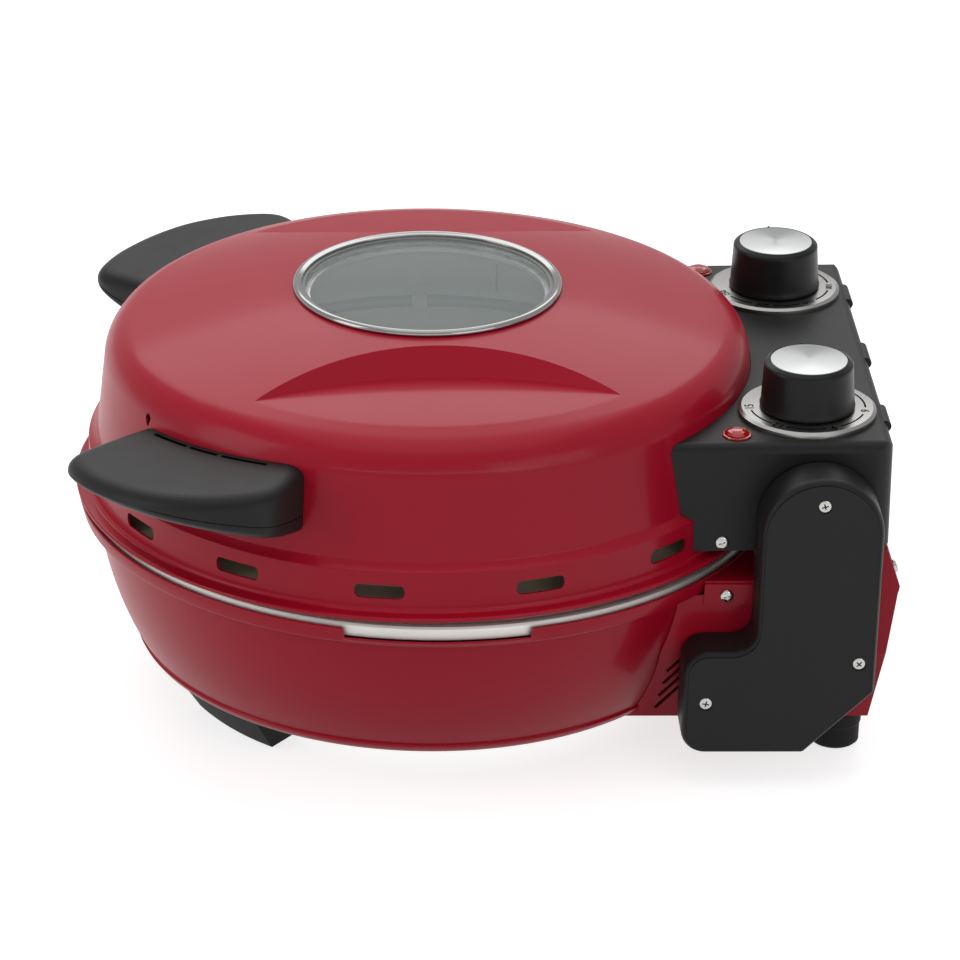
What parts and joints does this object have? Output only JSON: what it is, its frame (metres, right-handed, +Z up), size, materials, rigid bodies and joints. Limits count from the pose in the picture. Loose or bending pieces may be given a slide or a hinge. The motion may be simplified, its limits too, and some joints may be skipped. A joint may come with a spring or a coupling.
{
  "type": "electric pizza maker",
  "caption": "Round countertop electric pizza maker with a baking stone, a rear-hinged domed lid with window and grips, and a control box with two knobs.",
  "frame": {"origin": "centre of the appliance's footprint, on the table it stands on", "axes": "+Z up, +Y from the front of the lid towards the hinge and the control box, +X to the right of a user who stands at the front"},
  "size_m": [0.3721, 0.4076, 0.2121],
  "materials": {
    "red_paint": "gloss pearl enamel",
    "bright_steel": "satin",
    "plated_steel": "zinc plated",
    "screw_steel": "polished head",
    "chrome_trim": "polished",
    "heater_tube": "oxidised satin",
    "stone": "matte",
    "black_plastic": "fine grain",
    "foot_rubber": "matte",
    "white_plastic": "matte",
    "dial_plate": "satin with printed scale",
    "knob_cap": "spun satin",
    "lamp_red": "translucent gloss",
    "window_glass": "clear tempered"
  },
  "bodies": {
    "base": {"base_shell": "red_paint", "base_pan": "bright_steel", "baking_stone": "stone", "lower_heater": "heater_tube", "lower_heater_clips": "plated_steel", "service_plate": "plated_steel", "service_screws": "screw_steel", "front_foot_right": "foot_rubber", "front_foot_left": "foot_rubber", "rear_foot_right": "foot_rubber", "rear_foot_left": "foot_rubber", "rear_housing": "red_paint", "rear_cover": "red_paint", "rear_cover_screws": "screw_steel", "cord_bush": "foot_rubber", "terminal_block": "white_plastic", "side_tab_right": "red_paint", "side_tab_left": "red_paint", "side_tab_screws": "screw_steel", "arm_housing_right": "black_plastic", "arm_housing_left": "black_plastic", "arm_frame_right": "plated_steel", "arm_frame_left": "plated_steel", "arm_cover_right": "black_plastic", "arm_cover_left": "black_plastic", "arm_cover_screws": "screw_steel", "hinge_pin_right": "plated_steel", "hinge_pin_left": "plated_steel"},
    "lid": {"lid_shell": "red_paint", "lid_liner": "bright_steel", "liner_rivets": "plated_steel", "upper_heater": "heater_tube", "upper_heater_clips": "plated_steel", "window_ring": "chrome_trim", "window_gasket": "foot_rubber", "window_glass": "window_glass", "window_clamp": "bright_steel", "handle_grip_right": "black_plastic", "handle_grip_left": "black_plastic", "handle_base_right": "black_plastic", "handle_base_left": "black_plastic", "control_housing": "black_plastic", "control_floor": "black_plastic", "control_screws": "screw_steel", "pivot_bracket_right": "plated_steel", "pivot_bracket_left": "plated_steel", "lamp_lenses": "lamp_red", "lamp_holders": "white_plastic", "timer_dial": "dial_plate", "thermostat_dial": "dial_plate", "timer_unit": "white_plastic", "thermostat_unit": "white_plastic"},
    "timer_knob": {"timer_shaft": "plated_steel", "timer_knob": "black_plastic", "timer_cap": "knob_cap"},
    "thermostat_knob": {"thermostat_shaft": "plated_steel", "thermostat_knob": "black_plastic", "thermostat_cap": "knob_cap"}
  },
  "joints": [
    {"name": "lid_hinge", "type": "hinge", "parent": "base", "child": "lid", "pos_m": [0, 0.16028, 0.136], "axis": [-1, 0, 0], "range_deg": [0, 72]},
    {"name": "timer_knob_turn", "type": "hinge", "parent": "lid", "child": "timer_knob", "pos_m": [0.078, 0.15742, 0.17766], "axis": [0, -0.0157, 0.9999], "range_deg": [-274, 0]},
    {"name": "thermostat_knob_turn", "type": "hinge", "parent": "lid", "child": "thermostat_knob", "pos_m": [-0.078, 0.15742, 0.17766], "axis": [0, -0.0157, 0.9999], "range_deg": [-270, 0]}
  ]
}
